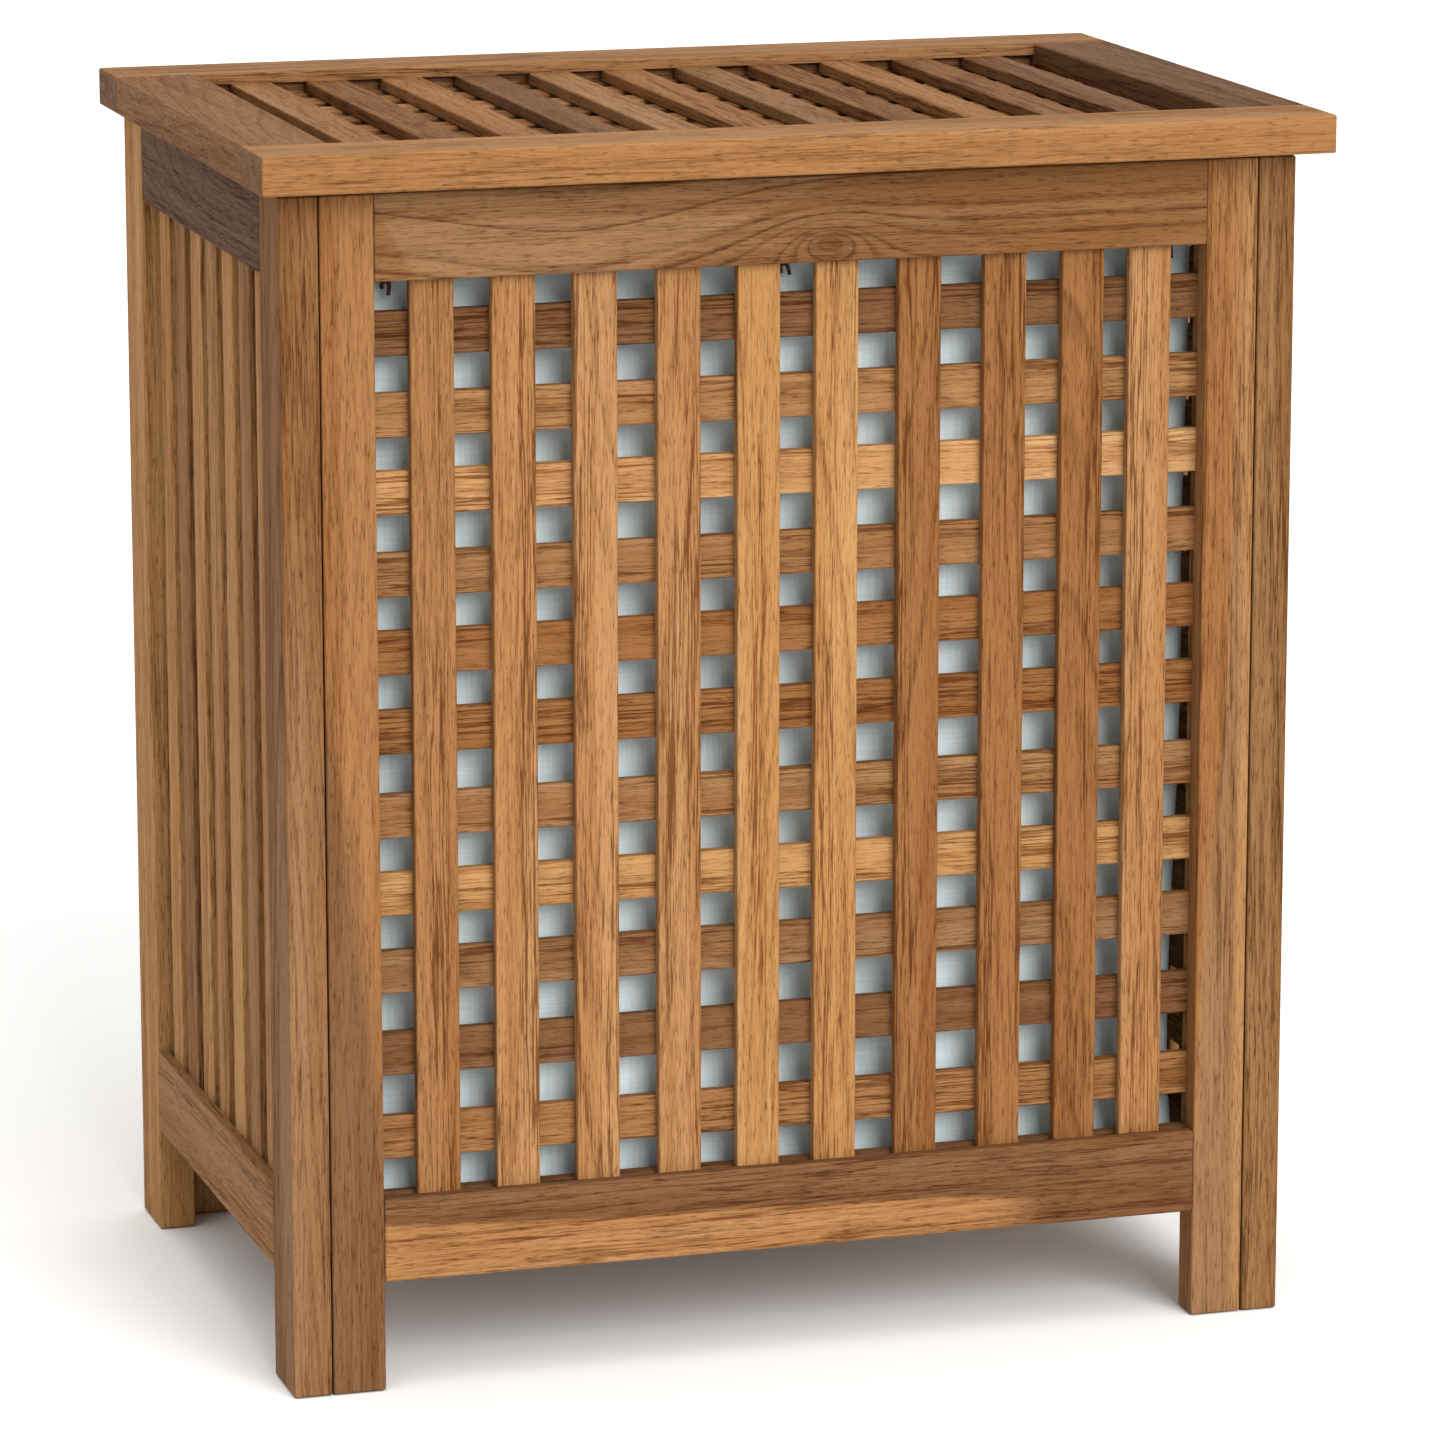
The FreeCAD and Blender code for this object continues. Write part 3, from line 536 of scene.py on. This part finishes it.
# How near to a tie or to the floor the cloth is held still, and how far off the boards it is kept.
TIE_OFFSET = 188 * MM
TIE_HOLD = 22 * MM
FLOOR_HOLD = 1.5 * MM
FLOOR_GAP = 0.6 * MM
BOARD_GAP = 1.0 * MM
SETTLE_FRAMES = 30


def cloth_material(name, stitch_line=None):
    """Plain-woven cotton. Its threads follow the cloth, by the map of the flat cut in metres."""
    shader = Shader(name)
    flat = shader.node("UVMap", {}, uv_map="flat").outputs[0]
    u, v, _ = shader.split(flat)
    warp = shader.maths("SINE", shader.maths("MULTIPLY", u, 2 * math.pi / THREAD))
    weft = shader.maths("SINE", shader.maths("MULTIPLY", v, 2 * math.pi / THREAD))
    weave = shader.maths("MULTIPLY", warp, weft)
    slub_u = shader.noise(flat, (1000, 30, 1), 2, 0.6)[0]
    slub_v = shader.noise(flat, (30, 1000, 1), 2, 0.6)[0]
    slub = shader.maths("ADD", slub_u, slub_v)
    soft = shader.noise(flat, (14, 14, 1), 2)[0]
    # The mix below draws the cloth toward its colour in shadow, as painted shade. The slubs and weave are
    # the cloth's own; the soft patches are painted shade.
    shade = shader.maths("MULTIPLY_ADD", slub, 0.6, -0.52)
    shade = shader.maths("MULTIPLY_ADD", weave, -0.10, shade)
    shade = shader.maths("MULTIPLY_ADD", soft, 0.30, shade)
    colour = shader.mix(shade, BAG_CLOTH, BAG_PAINTED_SHADOW)
    height = shader.maths("MULTIPLY_ADD", weave, 0.5, shader.maths("MULTIPLY", slub, 0.6))
    if stitch_line is not None:
        near = shader.maths("COMPARE", v, stitch_line, 0.35 * MM)
        step = shader.maths("FRACT", shader.maths("DIVIDE", u, STITCH))
        dash = shader.maths("LESS_THAN", step, 0.62)
        stitch = shader.maths("MULTIPLY", near, dash)
        colour = shader.mix(shader.maths("MULTIPLY", stitch, 0.5), colour, STITCH_SHADE)
        height = shader.maths("MULTIPLY_ADD", stitch, -2.0, height)
    shader.bump(height, 0.12 * MM, 0.5)
    return shader.give(colour, 0.92, Sheen_Weight=0.15, Sheen_Roughness=0.5)


def rounded_corner(x, y, half_width, half_depth, corner):
    """Moves a point of a rectangle onto the same rectangle with round corners."""
    over_x = abs(x) - (half_width - corner)
    over_y = abs(y) - (half_depth - corner)
    if over_x <= 0 or over_y <= 0:
        return x, y
    reach = max(over_x, over_y) / math.hypot(over_x, over_y)
    new_x = half_width - corner + over_x * reach
    new_y = half_depth - corner + over_y * reach
    return math.copysign(new_x, x), math.copysign(new_y, y)


def billow(x, y, z):
    """How far the unhung cloth stands in or out at a point, in metres. It hangs as soft folds."""
    wide = noise.noise(Vector((x * 11, y * 11, z * 3.0)))
    narrow = noise.noise(Vector((x * 26 + 7, y * 26, z * 6.5)))
    return (WIDE_FOLD * wide + NARROW_FOLD * narrow) * MM


def tie_places():
    """Where each tie hangs: a point on its rail's inner face, and the direction into the hamper."""
    middle_y = sum(corner.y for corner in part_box("liner_bag")) / 2
    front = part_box("front_top_rail")[1].y
    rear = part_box("rear_top_rail")[0].y
    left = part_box("left_top_rail")[1].x
    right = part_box("right_top_rail")[0].x
    places = []
    for x in (-TIE_OFFSET, 0.0, TIE_OFFSET):
        places.append((Vector((x, front, 0)), Vector((0, 1, 0))))
        places.append((Vector((x, rear, 0)), Vector((0, -1, 0))))
    places.append((Vector((left, middle_y, 0)), Vector((1, 0, 0))))
    places.append((Vector((right, middle_y, 0)), Vector((-1, 0, 0))))
    return places


def sew_bag(low, high):
    """The bag before it is hung: four slack walls and a floor in one cloth, with a map of its flat cut."""
    centre = (low + high) / 2
    half_width = (high.x - low.x) / 2 - 2 * MM
    half_depth = (high.y - low.y) / 2 - 2 * MM
    across = round(2 * half_width / BAG_CELL)
    back = round(2 * half_depth / BAG_CELL)
    rows = round((high.z - low.z) / BAG_CELL)
    mesh = bmesh.new()
    flat = mesh.loops.layers.uv.new("flat")

    def vertex(i, j, level):
        x = -half_width + 2 * half_width * i / across
        y = -half_depth + 2 * half_depth * j / back
        x, y = rounded_corner(x, y, half_width, half_depth, BAG_CORNER)
        z = low.z + FLOOR_GAP + (high.z - low.z - 2 * MM) * level / rows
        if level > 0:
            # The high power keeps the slack square to each wall, and turns it only near a corner.
            aim = Vector(((x / half_width) ** 9, (y / half_depth) ** 9))
            slack = billow(x, y, z) * min(1.0, level / 4) / aim.length
            x += aim.x * slack
            y += aim.y * slack
        return mesh.verts.new((centre.x + x, centre.y + y, z))

    edge = [(i, 0) for i in range(across)] + [(across, j) for j in range(back)]
    edge += [(across - i, back) for i in range(across)] + [(0, back - j) for j in range(back)]
    floor = {(i, j): vertex(i, j, 0) for i in range(across + 1) for j in range(back + 1)}
    rings = [[floor[place] for place in edge]]
    rings += [[vertex(i, j, level) for i, j in edge] for level in range(1, rows + 1)]

    def face(corners, places):
        made = mesh.faces.new(corners)
        made.smooth = True
        for loop, place in zip(made.loops, places):
            loop[flat].uv = (place[0] * BAG_CELL, place[1] * BAG_CELL)

    for level in range(rows):
        for k in range(len(edge)):
            after = (k + 1) % len(edge)
            lower, upper = rings[level], rings[level + 1]
            corners = [lower[k], lower[after], upper[after], upper[k]]
            face(corners, [(k, level), (k + 1, level), (k + 1, level + 1), (k, level + 1)])
    for i in range(across):
        for j in range(back):
            square = [(i, j), (i, j + 1), (i + 1, j + 1), (i + 1, j)]
            face([floor[place] for place in square], [(u, -v) for u, v in square])
    bag = mesh_object("cotton_bag", mesh)
    return bag, rows * BAG_CELL


def hang(bag, low, high):
    """Lets the cloth settle under its weight, held by its ties and lying on the base boards."""
    held = bag.vertex_groups.new(name="held")
    places = tie_places()
    tie_height = high.z - HEM_ROWS * BAG_CELL
    for vertex in bag.data.vertices:
        place = vertex.co
        near_tie = min(
            math.hypot(place.x - tie.x, place.y - tie.y, place.z - tie_height) for tie, _ in places
        )
        if place.z < low.z + FLOOR_HOLD or near_tie < TIE_HOLD:
            held.add([vertex.index], 1.0, "REPLACE")
    cloth = bag.modifiers.new("hanging", "CLOTH")
    cloth.settings.vertex_group_mass = "held"
    cloth.settings.quality = 4
    cloth.settings.mass = 0.0005
    cloth.settings.tension_stiffness = 60
    cloth.settings.compression_stiffness = 30
    cloth.settings.shear_stiffness = 20
    cloth.settings.bending_stiffness = 0.4
    cloth.settings.air_damping = 3
    cloth.collision_settings.use_collision = False
    cloth.point_cache.frame_end = SETTLE_FRAMES
    for number in range(1, SETTLE_FRAMES + 1):
        bpy.context.scene.frame_set(number)
    settled = evaluated_mesh(bag)
    bag.modifiers.remove(cloth)
    bag.data = settled


def keep_between_boards(bag):
    """Presses the cloth flat where it meets the slats and the base boards."""
    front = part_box("front_cross_slats")[1].y
    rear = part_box("rear_cross_slats")[0].y
    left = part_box("left_cross_slats")[1].x
    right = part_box("right_cross_slats")[0].x
    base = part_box("base_boards")[1].z
    for vertex in bag.data.vertices:
        vertex.co.x = min(max(vertex.co.x, left + BOARD_GAP), right - BOARD_GAP)
        vertex.co.y = min(max(vertex.co.y, front + BOARD_GAP), rear - BOARD_GAP)
        vertex.co.z = max(vertex.co.z, base + FLOOR_GAP)


def give_thickness(piece, thickness, offset):
    """Makes a single sheet solid. The offset says to which side of it the thickness goes."""
    solid = piece.modifiers.new("thickness", "SOLIDIFY")
    solid.thickness = thickness
    solid.offset = offset


def make_hem(bag, top):
    """The bag's turned and stitched upper edge, a band of cloth round the top rows."""
    mesh = bmesh.new()
    mesh.from_mesh(bag.data)
    flat = mesh.loops.layers.uv["flat"]
    hem_low = top - (HEM_ROWS + 0.5) * BAG_CELL
    below = [face for face in mesh.faces if min(loop[flat].uv.y for loop in face.loops) < hem_low]
    bmesh.ops.delete(mesh, geom=below, context="FACES")
    hem = mesh_object("bag_hem", mesh)
    paint(hem, cloth_material("hem_cotton", top - (HEM_ROWS - 0.25) * BAG_CELL))
    hem.modifiers.new("smooth", "SUBSURF").render_levels = 1
    give_thickness(hem, HEM_THICKNESS, -0.35)
    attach(hem, "body")
    return hem


def make_bag():
    """The hung cotton bag, open at the top, with its hem."""
    low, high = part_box("liner_bag")
    bag, top = sew_bag(low, high)
    hang(bag, low, high)
    keep_between_boards(bag)
    paint(bag, cloth_material("bag_cotton"))
    hem = make_hem(bag, top)
    bag.modifiers.new("smooth", "SUBSURF").render_levels = 1
    give_thickness(bag, CLOTH_THICKNESS, -1)
    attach(bag, "body")
    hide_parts("liner_bag")


# ---------------------------------------------------------------- the ties
CORD_RADIUS = 0.95 * MM
KNOT_STEPS = 30


def knot_line(middle, size):
    """The line of a small tight knot: a trefoil round its middle."""
    turns = [2 * math.pi * step / KNOT_STEPS for step in range(KNOT_STEPS + 1)]
    return [
        middle + size * Vector((
            math.sin(turn) + 2 * math.sin(2 * turn),
            0.7 * math.sin(3 * turn),
            math.cos(turn) - 2 * math.cos(2 * turn),
        ))
        for turn in turns
    ]


def make_ties():
    """A dark cord at each screw eye: knotted below it, with two short tails and an end to the bag."""
    lines = bpy.data.curves.new("ties", "CURVE")
    lines.dimensions = "3D"
    lines.bevel_depth = CORD_RADIUS
    lines.bevel_resolution = 2
    lines.use_fill_caps = True
    eye_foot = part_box("bag_ties")[1].z
    chance = random.Random("ties")

    def add(points, spot, inwards):
        along = inwards.cross(Vector((0, 0, 1)))
        line = lines.splines.new("POLY")
        line.points.add(len(points) - 1)
        for point, (side, depth, up) in zip(line.points, points):
            place = spot + along * side + inwards * depth
            point.co = (place.x, place.y, eye_foot + up, 1)

    # Places on a cord are in millimetres: to the side, into the hamper, and up from the eye's foot.
    half_loop = [(1.2, 4.5, -5.5), (2.2, 5, -1.5), (1.6, 5, 2.2)]
    loop = [*half_loop, (0, 5, 3.0), *((-side, depth, up) for side, depth, up in reversed(half_loop))]
    for spot, inwards in tie_places():
        lean = chance.uniform(-1, 1)
        ends = [
            [(0.8, 4, -7), (1.8 + lean, 3.4, -10.5), (2.4 + 2 * lean, 3.6, -13.5 + lean)],
            [(-0.8, 4.6, -7), (-1.4 + lean, 5.2, -10), (-1.0 + lean, 5.6, -12.5 - lean)],
            [(0, 5, -5), (0.4, 7.4, -3), (0.3, 10.6, -1)],
        ]
        for points in [loop, *ends]:
            add([Vector(point) * MM for point in points], spot, inwards)
        add(knot_line(Vector((0, 4.3, -6)) * MM, 0.8 * MM), spot, inwards)

    holder = add_object("ties", lines)
    ties = add_object("knotted_ties", evaluated_mesh(holder))
    bpy.data.objects.remove(holder)
    shader = Shader("tie_cord")
    strands = shader.noise(shader.node("TexCoord", {}).outputs["Object"], (900, 900, 300), 2)[0]
    shader.bump(strands, 0.3 * MM, 0.8)
    paint(ties, shader.give(shader.mix(strands, linear(74, 40, 28), linear(34, 18, 14)), 0.85))
    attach(ties, "body")
    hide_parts("bag_ties")


# ---------------------------------------------------------------- studio
def sun(name, azimuth, elevation, spread, strength):
    """Soft light from far away. azimuth is in degrees from straight ahead, to the right."""
    data = bpy.data.lights.new(name, "SUN")
    data.energy = strength
    data.angle = math.radians(spread)
    light = add_object(name, data)
    light.rotation_euler = (math.radians(90 - elevation), 0, math.radians(azimuth))


CAMERA_LENS = 170.1
CAMERA_PLACE = (-0.938, -3.098, 0.980)
CAMERA_DOWN = 12.34
CAMERA_RIGHT = 17.04


def make_studio():
    """A pale floor, soft light mostly from the front, and the camera."""
    mesh = bmesh.new()
    bmesh.ops.create_grid(mesh, x_segments=1, y_segments=1, size=14)
    floor = mesh_object("floor", mesh)
    floor.location.z = -0.5 * MM
    shader = Shader("pale_floor")
    paint(floor, shader.give((0.9, 0.9, 0.9, 1.0), 0.9, Specular_IOR_Level=0.2))

    world = bpy.data.worlds.new("studio")
    bpy.context.scene.world = world
    world.use_nodes = True
    sky = world.node_tree.nodes["Background"].inputs
    sky["Color"].default_value = (1.0, 0.985, 0.96, 1.0)
    sky["Strength"].default_value = 0.72
    sun("key", 12, 27, 35, 2.6)
    sun("overhead", -10, 68, 60, 1.1)
    sun("behind", 170, 40, 60, 0.45)

    data = bpy.data.cameras.new("camera")
    data.lens = CAMERA_LENS
    camera = add_object("camera", data)
    camera.location = CAMERA_PLACE
    camera.rotation_euler = (math.radians(90 - CAMERA_DOWN), 0, math.radians(-CAMERA_RIGHT))
    bpy.context.scene.camera = camera
    bpy.context.scene.view_settings.view_transform = "Standard"


# ---------------------------------------------------------------- the whole scene
make_studio()
make_wood()
make_fittings()
make_bag()
make_ties()
